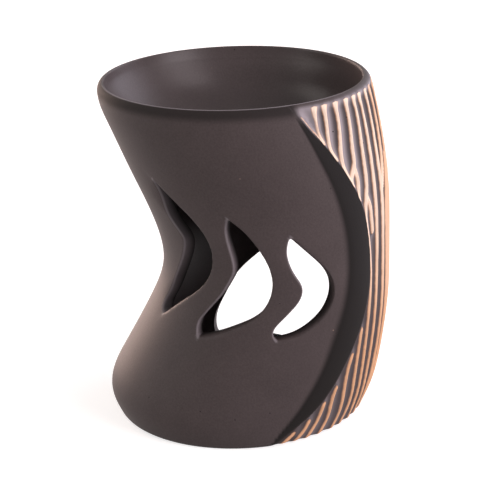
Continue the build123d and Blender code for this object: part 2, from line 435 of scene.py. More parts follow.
@dataclass(frozen=True)
class Cutout:
    """One teardrop cut-out: the angle that it faces, and its two lips as (across, level), from its top."""

    azimuth: float
    right_lip: tuple[tuple[float, float], ...]
    left_lip: tuple[tuple[float, float], ...]
    origin_x: float = 10.3

    def axes(self) -> tuple[np.ndarray, np.ndarray]:
        """The unit vectors across the cut-out and outwards through it."""
        angle = np.radians(self.azimuth)
        return np.array([np.cos(angle), np.sin(angle), 0.0]), np.array([np.sin(angle), -np.cos(angle), 0.0])

    def flat(self, points: np.ndarray) -> tuple[np.ndarray, np.ndarray, np.ndarray]:
        """Across, level and outwards distance of points, seen square to the cut-out.

        Args:
            points: one row of x, y, z each.

        Returns:
            Each of the three for every point, in millimetres.
        """
        across, outwards = self.axes()
        moved = points - np.array([self.origin_x, 0.0, 0.0])
        return moved @ across, points[:, 2], moved @ outwards


class Mark(Enum):
    """What each vertex of the body tells the glaze, by the name of its attribute."""

    BARE = "bare"
    # The next two marks are painted light: a painted highlight, then painted shade.
    THIN = "painted_highlight"
    POOLED = "painted_shade"
    BOWL = "bowl"
    # Towards the side the warm mark also carries painted shade.
    WARM = "warm"


@dataclass
class Burner:
    """The one-piece ceramic body: shell, bowl, room for the tealight, cut-outs, arch and fluted panel.

    Its sizes are in millimetres. An edge is the radius of a soft edge, and an inset is how far something lies
    inside the shell's ellipse.
    """

    height: float = 120.0
    wall: float = 4.5
    lip_wall: float = 1.9
    lip_left: float = 0.6
    lip_right: float = 2.2
    lip_edge: float = 0.4
    lip_edge_right: float = 0.8
    edge_fall: float = 1.8
    lip_height: float = 3.6
    floor: float = 6.0
    floor_round: float = 4.0
    bowl_floor: float = 94.5
    bowl_round: float = 19.0
    bowl_thickness: float = 4.0
    foot_width: float = 7.0
    foot_hollow: float = 1.5
    dish_depth: float = 2.0
    dish_reach: float = 9.0
    dish_tail: float = 7.0
    front_lip_edge: float = 0.55
    dished_lip_edge: float = 0.9
    arch_edge: float = 0.9
    tool_reach: float = 70.0
    tool_depth: float = 11.0
    form: BurnerForm = field(default_factory=BurnerForm)
    panel: FlutedPanel = field(default_factory=FlutedPanel)
    cutouts: tuple[Cutout, ...] = (
        Cutout(-40.0,
               ((-3.6, 93.0), (2.3, 88.3), (9.6, 81.9), (14.4, 75.6), (15.95, 68.6), (14.4, 62.2),
                (9.6, 55.6), (2.2, 50.0), (-4.1, 45.4), (-8.9, 41.6)),
               ((-3.6, 93.0), (-2.5, 88.4), (-1.2, 82.1), (1.8, 76.8), (4.9, 72.1), (4.2, 69.2), (1.1, 63.7),
                (-4.1, 56.4), (-8.7, 48.6), (-10.6, 43.6), (-8.9, 41.6))),
        Cutout(-8.0,
               ((-0.8, 82.6), (4.0, 78.5), (9.0, 71.8), (12.1, 65.1), (12.8, 59.0), (10.8, 52.4), (6.6, 47.6),
                (1.0, 44.5), (-7.0, 41.0), (-13.8, 38.8)),
               ((-0.8, 82.6), (-1.7, 77.9), (-1.0, 73.0), (0.2, 67.4), (0.3, 63.8), (-1.3, 60.2),
                (-4.5, 55.1), (-7.9, 51.0), (-11.2, 47.2), (-13.9, 43.0), (-13.8, 38.8))),
        Cutout(27.0,
               ((-7.4, 76.1), (-2.1, 70.7), (3.6, 64.7), (7.0, 59.0), (7.3, 54.2), (4.6, 48.4), (-0.3, 44.2),
                (-6.2, 41.3), (-12.9, 40.0)),
               ((-7.4, 76.1), (-8.2, 72.1), (-7.7, 67.2), (-5.4, 62.0), (-3.4, 57.8), (-4.1, 54.2),
                (-7.4, 50.0), (-11.0, 46.2), (-13.6, 42.4), (-12.9, 40.0))),
    )
    arch: tuple[tuple[float, float], ...] = (
        (-17.6, 6.0), (-20.9, 7.6), (-22.1, 12.0), (-20.6, 18.8), (-17.0, 26.0), (-12.9, 33.6), (-5.6, 41.2),
        (2.0, 46.6), (9.4, 48.4), (16.6, 44.2), (22.2, 36.4), (24.6, 28.6), (24.2, 20.0), (22.6, 12.0),
        (20.6, 7.6), (16.9, 6.0),
    )

    def columns(self) -> np.ndarray:
        """The angles of the mesh's columns: closest at the flutes, close at the cut-outs."""
        return np.concatenate((np.arange(-80, 32, 1.1), np.arange(32, 148, 0.56), np.arange(148, 279, 2.4)))

    def from_crease(self, turn: np.ndarray, level: np.ndarray) -> np.ndarray:
        """How far inside the panel's crease points lie, in millimetres."""
        return np.radians(folded(turn) - self.form.crease(level)) * self.form.cut(level)[1]

    def dish(self, points: np.ndarray) -> np.ndarray:
        """How far the shell is pressed in to the left of each cut-out and a little beyond its tips.

        Args:
            points: points on the shell, one row of x, y, z each.

        Returns:
            How far each one lies under the shell that has no dishes, in millimetres.
        """
        pressed = np.zeros(len(points))
        for cutout in self.cutouts:
            across, level, outwards = cutout.flat(points)
            fold = curve_through(np.array(cutout.right_lip), 60)
            start, end = fold[0] - fold[2], fold[-1] - fold[-3]
            start, end = start / np.linalg.norm(start), end / np.linalg.norm(end)
            tail, half = self.dish_tail, self.dish_tail / 2
            fold = np.vstack([fold[0] + start * tail, fold[0] + start * half, fold,
                              fold[-1] + end * half, fold[-1] + end * tail])
            near = np.where((outwards > 20) & (np.abs(across) < 34) & (level > 25) & (level < 108))[0]
            spot = np.stack([across[near], level[near]], axis=1)
            run, chord = fold[:-1], np.diff(fold, axis=0)
            share = np.einsum("pij,ij->pi", spot[:, None] - run[None], chord) / (chord ** 2).sum(axis=1)
            foot = run[None] + np.clip(share, 0, 1)[..., None] * chord[None]
            apart = np.linalg.norm(spot[:, None] - foot, axis=2)
            nearest = apart.argmin(axis=1)
            rows = np.arange(len(near))
            away, segment = apart[rows, nearest], chord[nearest]
            offset = spot - foot[rows, nearest]
            left_of = np.where(segment[:, 0] * offset[:, 1] - segment[:, 1] * offset[:, 0] < 0, 1.0, -1.0)
            along = (nearest + np.clip(share[rows, nearest], 0, 1)) / len(chord)
            # The dish is deepest just left of the fold, and runs out at both of its ends.
            strength = step(0.0, 0.16, along) * step(1.0, 0.84, along)
            signed = away * left_of
            profile = step(-0.5, 0.9, signed) * (1 - step(1.0, self.dish_reach, signed))
            pressed[near] = np.maximum(pressed[near], self.dish_depth * strength * profile)
        return pressed

    def rolled(self, turn: np.ndarray, level: np.ndarray | float) -> np.ndarray:
        """How far the rolled edge has fallen, 0 at its shoulder and 1 at its crease: rounded, then even.

        Args:
            turn: the angles from the front, in degrees.
            level: the height above the table.

        Returns:
            The share of the fall at each angle.
        """
        shoulder, crease = self.form.shoulder(level), self.form.crease(level)
        share = np.clip((folded(turn) - shoulder) / (crease - shoulder), 0, 1)
        return np.where(share < 0.3, share ** 2 / 0.51, (share - 0.15) / 0.85)

    def skin(self, turn: np.ndarray, level: float) -> np.ndarray:
        """How far the skin lies inside the shell's ellipse: rolled edge, sunk panel, gouges and dishes.

        Args:
            turn: the angles from the front, in degrees.
            level: the height above the table.

        Returns:
            The inset at each angle.
        """
        levels = np.full_like(turn, level)
        cut = self.panel.gouge(self.panel.from_crest(turn, levels)[0], levels, self.from_crease(turn, levels))
        inset = self.form.sunk(level) * self.rolled(turn, level) + cut
        return inset + self.dish(self.form.ring(turn, level, inset))

    def blank(self) -> Piece:
        """The body before carving: foot, fluted skin, rounded lip and bowl, pulled up ring by ring.

        Returns:
            The closed blank.
        """
        turn, form, rings = self.columns(), self.form, []
        low = self.skin(turn, 0.0)
        inner, hollow = self.foot_width, self.foot_hollow
        for inset, level in ((inner + 3, hollow), (inner + 0.5, hollow), (inner, hollow - 0.5), (inner, 0.4),
                             (inner - 0.4, 0.0), (4.0, 0.0), (2.0, 0.0)):
            rings.append(form.ring(turn, level, inset))
        for inset, level in ((1.1, 0.0), (0.55, 0.14), (0.18, 0.5)):
            rings.append(form.ring(turn, level, inset + low))
        for level in np.linspace(1.0, self.height - self.lip_height, 128):
            rings.append(form.ring(turn, level, self.skin(turn, level)))
        inside, edge = self.lip_ring(turn), self.ridge(turn)
        for angle in np.radians((10, 20, 30, 40, 50, 60, 70, 80)):
            level = self.height - self.lip_height * (1 - np.sin(angle))
            roll = (inside - edge - self.skin(turn, self.height)) * (1 - np.cos(angle))
            rings.append(form.ring(turn, level, self.skin(turn, level) + roll))
        for angle in np.radians((0, 20, 40, 60, 80)):
            level = self.height - self.edge_fall * edge * (1 - np.cos(angle))
            rings.append(form.ring(turn, level, inside - edge * (1 - np.sin(angle))))
        for level in np.linspace(117.3, self.bowl_floor + self.bowl_round, 6):
            rings.append(form.ring(turn, level, self.bowl_wall(turn, level)))
        for angle in np.radians(np.linspace(7.5, 90, 12)):
            level = self.bowl_floor + self.bowl_round * (1 - np.sin(angle))
            inset = self.bowl_wall(turn, level) + self.bowl_round * (1 - np.cos(angle))
            rings.append(form.ring(turn, level, inset))
        return pulled_form("ceramic_body", np.array(rings)[:, ::-1])

    def lip_ring(self, turn: np.ndarray) -> np.ndarray:
        """How far the lip's inner edge lies inside the shell's ellipse: least in front, more at the sides."""
        side = np.sin(np.radians(turn))
        return self.lip_wall + np.where(side > 0, self.lip_right, self.lip_left) * side ** 2

    def ridge(self, turn: np.ndarray) -> np.ndarray:
        """How far the lip's highest line lies outside its inner edge: close to it, but for the right side."""
        return self.lip_edge + self.lip_edge_right * np.clip(np.sin(np.radians(turn)), 0, 1) ** 2

    def bowl_wall(self, turn: np.ndarray, level: float) -> np.ndarray:
        """How far the bowl's inside lies inside the shell's ellipse: the lip's ring, then the full wall.

        Args:
            turn: the angles from the front, in degrees.
            level: the height above the table.

        Returns:
            The inset at each angle.
        """
        thick = step(self.height, self.height - 10, np.array(level))
        full = self.wall + self.inner_offset(turn, level)
        return self.lip_ring(turn) * (1 - thick) + full * thick

    def inner_offset(self, turn: np.ndarray, level: float) -> np.ndarray:
        """What keeps the wall even behind the sunk panel."""
        return self.form.sunk(level) * step(20, 80, folded(turn))

    def room(self) -> Piece:
        """The hollow under the bowl: floor with a round, walls, and the bowl's underside as its roof.

        Returns:
            The closed tool that cuts it.
        """
        turn, form, rings = np.arange(-180, 180, 2.5), self.form, []
        for angle in np.radians(np.linspace(0, 80, 6)):
            level = self.floor + self.floor_round * (1 - np.cos(angle))
            inset = self.wall + self.floor_round * (1 - np.sin(angle))
            rings.append(form.ring(turn, level, inset + self.inner_offset(turn, level)))
        under = self.bowl_round + self.bowl_thickness
        axis = self.wall + self.bowl_round
        roof = [(inset, self.bowl_floor + self.bowl_round - np.sqrt(under ** 2 - (axis - inset) ** 2))
                for inset in (4.6, 5.6, 7.0, 9.0, 12.0, 15.0, 19.0, axis)]
        for level in np.linspace(self.floor + self.floor_round, roof[0][1] - 0.4, 46):
            rings.append(form.ring(turn, level, self.wall + self.inner_offset(turn, level)))
        for inset, level in roof:
            rings.append(form.ring(turn, level, inset + self.inner_offset(turn, level)))
        return pulled_form("room_tool", np.array(rings)[:, ::-1])

    def mouth(self, name: str, outline: np.ndarray, edge: np.ndarray, across: np.ndarray,
              outwards: np.ndarray, origin: np.ndarray, surface: BVHTree) -> Piece:
        """A cutting tool for one opening, with a flare that leaves a soft edge on the skin.

        Args:
            name: the tool's name.
            outline: the opening's outline, across and level, in one turning order.
            edge: the soft edge's radius at each point of the outline.
            across: unit vector across the opening.
            outwards: unit vector out through it.
            origin: the point from which the outline's across is counted.
            surface: the body's surface, which the flare follows.

        Returns:
            The closed tool.
        """
        ahead, behind = np.roll(outline, -1, axis=0), np.roll(outline, 1, axis=0)
        along = ahead - behind
        along /= np.linalg.norm(along, axis=1)[:, None]
        out = np.stack([along[:, 1], -along[:, 0]], axis=1)
        area = np.sum(outline[:, 0] * ahead[:, 1] - outline[:, 1] * ahead[:, 0])
        out = out if area > 0 else -out
        far = (outline + out * (edge * 1.3)[:, None]) @ np.stack([across, (0, 0, 1)])
        rings = [origin + outwards * self.tool_reach + far]
        # Each stage is how far the tool is widened, in edge radii, how far it stands off the skin, in
        # millimetres, and how far it lies under the skin, in edge radii.
        stages = [(1.2, 2.0, 0.0), (1.02, 0.25, 0.0)]
        stages += [(1 - np.sin(angle), 0.0, 1 - np.cos(angle)) for angle in np.radians((12, 30, 48, 66, 84))]
        stages.append((0.0, -self.tool_depth, 0.0))
        for widened, above, under in stages:
            spot = outline + out * (edge * widened)[:, None]
            base = origin + spot[:, :1] * across + np.array([0.0, 0.0, 1.0]) * spot[:, 1:]
            ring = []
            for point, radius in zip(base, edge):
                start = Vector((point + outwards * 80) * MM)
                skin = 80 - surface.ray_cast(start, Vector(-outwards))[3] / MM
                ring.append(point + outwards * (skin + above - radius * under))
            rings.append(ring)
        return pulled_form(name, np.array(rings))

    def build(self) -> Piece:
        """Makes the whole body.

        Returns:
            The carved body, with its marks.
        """
        body = self.blank()
        surface = BVHTree.FromObject(body, bpy.context.evaluated_depsgraph_get())
        tools = []
        for number, cutout in enumerate(self.cutouts):
            right = curve_through(np.array(cutout.right_lip), 80)
            left = curve_through(np.array(cutout.left_lip), 72)[-2:0:-1]
            outline = np.vstack([right, left])
            edge = np.repeat([self.front_lip_edge, self.dished_lip_edge], [len(right), len(left)])
            for _ in range(3):
                outline = (np.roll(outline, 1, axis=0) + 2 * outline + np.roll(outline, -1, axis=0)) / 4
                edge = (np.roll(edge, 1) + 2 * edge + np.roll(edge, -1)) / 4
            across, outwards = cutout.axes()
            tools.append(self.mouth(f"cutout_tool_{number}", outline[::-1], edge[::-1], across, outwards,
                                    np.array([cutout.origin_x, 0.0, 0.0]), surface))
        points = np.array(self.arch)
        closed = curve_through(np.vstack([points, points[:1]]), 161)[:-1]
        edge, (across, outwards) = np.full(len(closed), self.arch_edge), np.eye(3)[:2]
        tools.append(self.mouth("arch_tool", closed, edge, across, outwards, np.zeros(3), surface))
        carve(body, self.room())
        for tool in tools:
            carve(body, tool)
        self.mark(body)
        bpy.ops.object.shade_smooth_by_angle(angle=np.radians(38))
        return body

    def around_cutouts(self, points: np.ndarray, inset: np.ndarray) -> tuple[np.ndarray, np.ndarray]:
        """Where shade and a highlight are painted round the cut-outs.

        Args:
            points: the body's vertices, in millimetres.
            inset: how far inside the shell's ellipse they lie.

        Returns:
            The painted shade on each vertex of a cut-out's thick wall, and the painted highlight on its left
            lip.
        """
        wall, wear_and_highlight = np.zeros(len(points)), np.zeros(len(points))
        for cutout in self.cutouts:
            across, level, outwards = cutout.flat(points)
            near = np.where((outwards > 20) & (np.abs(across) < 22) & (level > 34) & (level < 98))[0]
            spot = np.stack([across[near], level[near]], axis=1)
            lips = (curve_through(np.array(lip), 160) for lip in (cutout.left_lip, cutout.right_lip))
            from_left, from_right = (np.linalg.norm(spot[:, None] - lip, axis=2).min(axis=1) for lip in lips)
            deep = inset[near] - self.dish(points[near])
            # Painted shade on the cut-out's wall, deeper than the skin.
            inner = step(0.8, 0.45, np.minimum(from_left, from_right)) * step(1.0, 1.6, deep)
            wall[near] = np.maximum(wall[near], inner)
            # A painted highlight along the edge of the left lip.
            wear_and_highlight[near] = np.maximum(wear_and_highlight[near], 0.45 * step(0.75, 0.25, from_left) * step(1.0, 0.7, deep))
        return wall, wear_and_highlight

    def mark(self, body: Piece) -> None:
        """Writes on each vertex what the glaze reads there.

        Args:
            body: the carved body.
        """
        points = np.empty(len(body.data.vertices) * 3)
        body.data.vertices.foreach_get("co", points)
        surface = GlazedSurface(self, points.reshape(-1, 3) / MM)
        marks = {Mark.BARE: surface.bare(), Mark.THIN: surface.painted_highlight(), Mark.POOLED: surface.painted_shade(),
                 Mark.BOWL: surface.bowl(), Mark.WARM: surface.warm()}
        for mark, values in marks.items():
            layer = body.data.attributes.new(mark.value, "FLOAT", "POINT")
            layer.data.foreach_set("value", values.astype(np.float32))


class GlazedSurface:
    """How the glaze and its painted light and shade lie on the fired body: each method gives one value for
    each vertex.

    Each step is the run of levels, turns or distances, in millimetres and degrees, over which it changes.
    """

    def __init__(self, burner: Burner, points: np.ndarray) -> None:
        """Finds where each vertex lies on the body.

        Args:
            burner: the body's sizes.
            points: its vertices, in millimetres.
        """
        form, level, turn = burner.form, points[:, 2], burner.form.turn_of(points)
        middle, across_half, deep = form.cut(level)
        angle = np.radians(turn)
        reach = np.hypot(points[:, 0] - middle, points[:, 1])
        inset = np.hypot(across_half * np.sin(angle), deep * np.cos(angle)) - reach
        # The skin lies no deeper than the gouges go, and at the lip it lies outside the highest line.
        limit = form.sunk(level) + 2.15
        limit = np.where(level > 116.5, np.minimum(limit, burner.lip_ring(turn) - burner.ridge(turn)), limit)
        self.burner, self.turn, self.level, self.inset = burner, turn, level, inset
        self.outside = step(limit + 0.15, limit - 0.15, inset)
        self.from_crease = burner.from_crease(turn, level)
        self.apart, self.across = burner.panel.from_crest(turn, level)
        self.panel = step(0.0, 0.8, self.from_crease) * step(34.5, 39.5, folded(turn)) * self.outside
        self.cutout_wall, self.lip_highlight = burner.around_cutouts(points, inset)

    def bare(self) -> np.ndarray:
        """How far inside a crest's bare strip it lies, in millimetres, and below zero outside it.

        Returns:
            The distance for each vertex.
        """
        strip = np.clip(self.burner.panel.bare_width(self.turn, self.level) - self.apart, -2, 2)
        strip = strip - 4 * (1 - self.outside)
        return strip - (4 * step(0.0, -0.5, self.from_crease) + 4 * step(118.3, 119.1, self.level))

    def painted_shade(self) -> np.ndarray:
        """Where shade is painted: on the rolled edge, in gouges, under the lip and on the cut-outs' walls.

        Returns:
            From 0, no painted shade, to 1 for each vertex.
        """
        level, form = self.level, self.burner.form
        shoulder, crease = form.shoulder(level), form.crease(level)
        share = (folded(self.turn) - shoulder) / (crease - shoulder)
        # Painted shade on the rolled edge. Towards the foot it fades over a longer run on both sides.
        low = step(75, 45, level)
        edge = step(-0.06, 0.16, share) * (1 - step(-0.1 - 1.2 * low, 0.35 + 1.4 * low, self.from_crease))
        edge = edge * step(119.5, 112, level)
        # Painted shade on the right halves of the upper gouges, the walls that face away from the side lamps.
        gouges = 0.3 * self.panel * step(0.5, 0.8, self.across) * step(85, 100, level) * step(118, 115, level)
        # Painted shade on the roll under the lip, outside the panel.
        under_lip_shade = 0.75 * step(115.0, 118.2, level) * step(119.95, 119.75, level) * (1 - self.panel)
        # The cut-outs' walls take painted shade as well.
        return np.maximum(np.maximum(np.maximum(edge, gouges), under_lip_shade) * self.outside, self.cutout_wall)

    def painted_highlight(self) -> np.ndarray:
        """Where a greyish highlight is painted: most on the gouges' left flanks, the lip and the dished lips.

        Returns:
            From 0, no painted highlight, to 1 for each vertex.
        """
        level, turn = self.level, self.turn
        # Painted highlight on the gouges' left flanks, the walls that face the side lamps, and at the gouges'
        # tops;
        gouge_highlight = np.maximum(step(0.78, 0.40, self.across), 0.6 * step(115.5, 118.2, level))
        # the whole panel takes a little of it, more higher up.
        gouges = self.panel * (0.10 + 0.90 * gouge_highlight * (0.22 + 0.78 * step(45, 95, level)))
        # A painted highlight in the panel's front corner, under the lip.
        corner = step(106, 112, level) * step(47, 43, turn) * step(35.0, 40.0, turn)
        corner = corner * step(-0.8, 0.4, self.from_crease)
        side = np.maximum(gouges, 0.9 * corner * self.outside) * step(119.5, 118.0, level)
        # A painted highlight along the lip's inner edge in front.
        rim_highlight = 0.6 * step(119.8, 119.97, level) * step(75, 45, np.abs(turn))
        # The cut-outs' dished left lips take a painted highlight too.
        return np.maximum(np.maximum(side, rim_highlight), self.lip_highlight)

    def bowl(self) -> np.ndarray:
        """Where the glaze is smoothest: inside the bowl."""
        return step(-0.4, 0.0, self.inset - self.burner.lip_ring(self.turn)) * step(88, 93, self.level)

    def warm(self) -> np.ndarray:
        """How warm the bare clay is: most at the foot, and towards the side and back as painted shade."""
        # Towards the side and back the clay stays tan, not pale: painted shade that dims the crests the side
        # lamps light most.
        return np.maximum(0.75 * step(78, 92, self.turn), 1 - step(25, 85, self.level))


# Finishes

def mixed(tree: Tree, share: object, first: object, second: object) -> Socket:
    """A colour from the first at share 0 to the second at 1, each a socket or a linear colour."""
    return add_node(tree, "Mix", {"data_type": "RGBA"}, i0=share, i6=first, i7=second).outputs[2]


def mapped(tree: Tree, value: Socket, low: object, high: object, start: float = 0.0, end: float = 1.0,
           kind: str = "LINEAR") -> Socket:
    """A value that runs from low to high while another runs from start to end."""
    settings = {"interpolation_type": kind}
    return add_node(tree, "MapRange", settings, i0=value, i1=start, i2=end, i3=low, i4=high).outputs[0]


def reckoned(tree: Tree, operation: str, *values: object) -> Socket:
    """The result of a Math node on two or three values."""
    inputs = {f"i{number}": value for number, value in enumerate(values)}
    return add_node(tree, "Math", {"operation": operation}, **inputs).outputs[0]


def shade(tree: Tree, **inputs: object) -> None:
    """Ends a material with the principled shader and its inputs."""
    shader = add_node(tree, "BsdfPrincipled", **inputs)
    add_node(tree, "OutputMaterial", Surface=shader.outputs[0])


@dataclass(frozen=True)
class SatinGlaze:
    """Brown-black satin glaze on slip-cast stoneware, rubbed back to the clay on the crests.

    To the eye it is a soft, nearly even dark brown with a broad, dull sheen. Near black is painted shade, on
    the rolled edge, the gouges' right halves, under the lip and on the cut-outs' walls, and greyish is a
    painted highlight, on the gouges' left flanks, the lip and the cut-outs' left lips. Along the crests it
    ends raggedly in tan, then pale clay. Inside the bowl it shines more. Sizes are in millimetres. The clouds
    of tone and the orange-peel ripple are as wide as on a real glaze. The ragged ends, pin-holes and pale
    specks are about twice as coarse, because finer ones don't show in the render.
    """

    dark: str = "#4B4242"
    darker: str = "#3C3434"
    # Near black for painted shade.
    painted_shade_tone: str = "#120E0D"
    # Greyish for a painted highlight.
    painted_highlight_tone: str = "#979095"
    tan: str = "#DBA67C"
    pale: str = "#EFDAC6"
    pit_tone: str = "#1A1615"
    speck_tone: str = "#8A7464"
    roughness: float = 0.56
    bowl_roughness: float = 0.35
    bare_roughness: float = 0.85
    # Rougher where shade is painted.
    painted_shade_roughness: float = 0.85
    gloss: float = 0.20
    cloud_size: float = 18.2
    ripple_size: float = 0.667
    ragged_size: float = 2.38
    pit_spacing: float = 4.0
    pit_radius: tuple[float, float] = (0.16, 0.30)
    pitted_share: float = 0.13
    specked_share: float = 0.06

    def material(self) -> Material:
        """Builds the glaze from its tones, the bare clay and the pin-holes.

        Returns:
            The material.
        """
        material, tree = new_material("satin_glazed_stoneware")
        place = add_node(tree, "TexCoord").outputs["Object"]
        ripple = self.noise(tree, place, self.ripple_size, 2.0)
        rubbed, clay = self.clay(tree, place)
        hole, speck = self.pits(tree, place)
        colour = mixed(tree, rubbed, self.glaze(tree, place, ripple), clay)
        colour = mixed(tree, hole, colour, linear(self.pit_tone))
        colour = mixed(tree, speck, colour, linear(self.speck_tone))
        rough = mapped(tree, self.read(tree, Mark.BOWL), self.roughness, self.bowl_roughness)
        rough = mapped(tree, self.read(tree, Mark.POOLED), rough, self.painted_shade_roughness)
        rough = mapped(tree, rubbed, rough, self.bare_roughness)
        height = reckoned(tree, "MULTIPLY_ADD", hole, -1.5, ripple)
        bump = add_node(tree, "Bump", Strength=0.14, Distance=0.00025, Height=height)
        shade(tree, Base_Color=colour, Roughness=rough, IOR=1.5, Specular_IOR_Level=self.gloss,
              Normal=bump.outputs[0])
        return material

    def read(self, tree: Tree, mark: Mark) -> Socket:
        """The socket that reads one of the body's marks."""
        return add_node(tree, "Attribute", {"attribute_name": mark.value}).outputs["Fac"]

    def noise(self, tree: Tree, place: Socket, size: float, detail: float) -> Socket:
        """The socket of a noise with features of a size in millimetres."""
        return add_node(tree, "TexNoise", Vector=place, Scale=per_metre(size), Detail=detail).outputs["Fac"]

    def glaze(self, tree: Tree, place: Socket, ripple: Socket) -> Socket:
        """The glaze's colour: two close tones in clouds, darker with painted shade, greyer with a painted
        highlight.

        Args:
            tree: the material's node tree.
            place: the socket of the piece's Object coordinates.
            ripple: the socket of the fine ripple, which breaks up the clouds.

        Returns:
            The colour's socket.
        """
        fine = mapped(tree, ripple, -0.2, 0.2, start=0.3, end=0.7)
        mottle = add_node(tree, "Math", {"operation": "ADD", "use_clamp": True},
                          i0=self.noise(tree, place, self.cloud_size, 3.0), i1=fine).outputs[0]
        tone = mixed(tree, mottle, linear(self.darker), linear(self.dark))
        # Painted shade, then a painted highlight, over the glaze's own tones.
        tone = mixed(tree, self.read(tree, Mark.POOLED), tone, linear(self.painted_shade_tone))
        return mixed(tree, self.read(tree, Mark.THIN), tone, linear(self.painted_highlight_tone))

    def clay(self, tree: Tree, place: Socket) -> tuple[Socket, Socket]:
        """Where the crests are rubbed bare, with ragged ends, and the clay's colour: tan, paler inside.

        Args:
            tree: the material's node tree.
            place: the socket of the piece's Object coordinates.

        Returns:
            The socket of how bare it is, and the colour's socket.
        """
        ragged = self.noise(tree, place, self.ragged_size, 3.0)
        edge = reckoned(tree, "MULTIPLY_ADD", ragged, 0.4, self.read(tree, Mark.BARE))
        rubbed = mapped(tree, edge, 0.0, 1.0, start=-0.15, end=0.5, kind="SMOOTHSTEP")
        core = mapped(tree, edge, 0.0, 1.0, start=0.1, end=0.5)
        paler = reckoned(tree, "MULTIPLY", core, mapped(tree, self.read(tree, Mark.WARM), 1.0, 0.1))
        return rubbed, mixed(tree, paler, linear(self.tan), linear(self.pale))

    def pits(self, tree: Tree, place: Socket) -> tuple[Socket, Socket]:
        """Where a pin-hole or a pale speck lies: at the middle of a cell, in a small share of cells.

        Args:
            tree: the material's node tree.
            place: the socket of the piece's Object coordinates.

        Returns:
            The socket of the pin-holes and that of the specks.
        """
        scale = per_metre(self.pit_spacing)
        cells = add_node(tree, "TexVoronoi", {"feature": "F1"}, Vector=place, Scale=scale)
        start, end = (radius / self.pit_spacing for radius in self.pit_radius)
        spot = mapped(tree, cells.outputs["Distance"], 1.0, 0.0, start=start, end=end)
        lot = add_node(tree, "SeparateColor", i0=cells.outputs["Color"]).outputs[0]
        pitted = reckoned(tree, "GREATER_THAN", lot, 1 - self.pitted_share)
        specked = reckoned(tree, "LESS_THAN", lot, self.specked_share)
        return reckoned(tree, "MULTIPLY", spot, pitted), reckoned(tree, "MULTIPLY", spot, specked)


@dataclass(frozen=True)
class TealightFoil:
    """Drawn aluminium foil, as tealight cups are pressed from.

    To the eye it is bright and nearly mirror-like, broken up by faint upright draw marks. Real marks are some
    hundredths of a millimetre apart. Here they are 1.1 mm apart and 17 mm long, so that they show.
    """

    tone: str = "#D9DADC"
    mark_width: float = 1.11
    mark_length: float = 16.7

    def material(self) -> Material:
        """Builds the foil.

        Returns:
            The material.
        """
        material, tree = new_material("drawn_aluminium_foil")
        place = add_node(tree, "TexCoord").outputs["Object"]
        scale = (per_metre(self.mark_width), per_metre(self.mark_width), per_metre(self.mark_length))
        drawn = add_node(tree, "Mapping", Vector=place, Scale=scale).outputs[0]
        marks = add_node(tree, "TexNoise", Vector=drawn, Scale=1.0, Detail=3.0).outputs["Fac"]
        rough = mapped(tree, marks, 0.18, 0.34, start=0.3, end=0.7)
        bump = add_node(tree, "Bump", Strength=0.12, Distance=0.0001, Height=marks)
        shade(tree, Base_Color=linear(self.tone), Metallic=1.0, Roughness=rough, Normal=bump.outputs[0])
        return material


@dataclass(frozen=True)
class ParaffinWax:
    """Poured paraffin wax.

    To the eye it is milky and slightly translucent, with a satin skin and soft crystal clouds about 7 mm wide
    where it cooled.
    """

    tone: str = "#F1EDE2"
    shade: str = "#E4DDCB"
    cloud_size: float = 7.14

    def material(self) -> Material:
        """Builds the wax.

        Returns:
            The material.
        """
        material, tree = new_material("poured_paraffin_wax")
        place = add_node(tree, "TexCoord").outputs["Object"]
        scale = per_metre(self.cloud_size)
        cloud = add_node(tree, "TexNoise", Vector=place, Scale=scale, Detail=4.0).outputs["Fac"]
        colour = mixed(tree, cloud, linear(self.tone), linear(self.shade))
        bump = add_node(tree, "Bump", Strength=0.2, Distance=0.0002, Height=cloud)
        shade(tree, Base_Color=colour, Roughness=0.42, IOR=1.44, Subsurface_Weight=0.25,
              Subsurface_Radius=(0.004, 0.003, 0.002), Normal=bump.outputs[0])
        return material


@dataclass(frozen=True)
class WaxedCotton:
    """Braided cotton wick, dipped in wax.

    To the eye it is an off-white, matt cord. Its slanting strands are about half a millimetre apart, as real.
    """

    tone: str = "#EFE7D6"
    shade: str = "#CFC3AB"
    strand_pitch: float = 0.567

    def material(self) -> Material:
        """Builds the wick's braid.

        Returns:
            The material.
        """
        material, tree = new_material("waxed_cotton_braid")
        place = add_node(tree, "TexCoord").outputs["Object"]
        braid = add_node(tree, "TexWave", {"bands_direction": "DIAGONAL"}, Vector=place,
                         Scale=bands_per_metre(self.strand_pitch), Distortion=1.5, Detail=1.0).outputs["Fac"]
        colour = mixed(tree, braid, linear(self.shade), linear(self.tone))
        bump = add_node(tree, "Bump", Strength=0.6, Distance=0.0002, Height=braid)
        shade(tree, Base_Color=colour, Roughness=0.7, Normal=bump.outputs[0])
        return material


@dataclass(frozen=True)
class TinnedSteel:
    """Stamped tinplate.

    To the eye it is a grey metal, brighter and duller in patches about 1 mm wide, the spangle of the tin.
    """

    tone: str = "#B9BABC"
    spangle_size: float = 1.11

    def material(self) -> Material:
        """Builds the tinplate.

        Returns:
            The material.
        """
        material, tree = new_material("stamped_tinned_steel")
        place = add_node(tree, "TexCoord").outputs["Object"]
        spangle = add_node(tree, "TexNoise", Vector=place, Scale=per_metre(self.spangle_size), Detail=2.0)
        rough = mapped(tree, spangle.outputs["Fac"], 0.25, 0.45)
        shade(tree, Base_Color=linear(self.tone), Metallic=1.0, Roughness=rough)
        return material


def dress(piece: Piece, material: Material) -> None:
    """Gives a piece one material.

    Args:
        piece: the piece.
        material: what it gets all over.
    """
    if piece.data.materials:
        for slot in piece.material_slots:
            slot.material = material
    else:
        piece.data.materials.append(material)


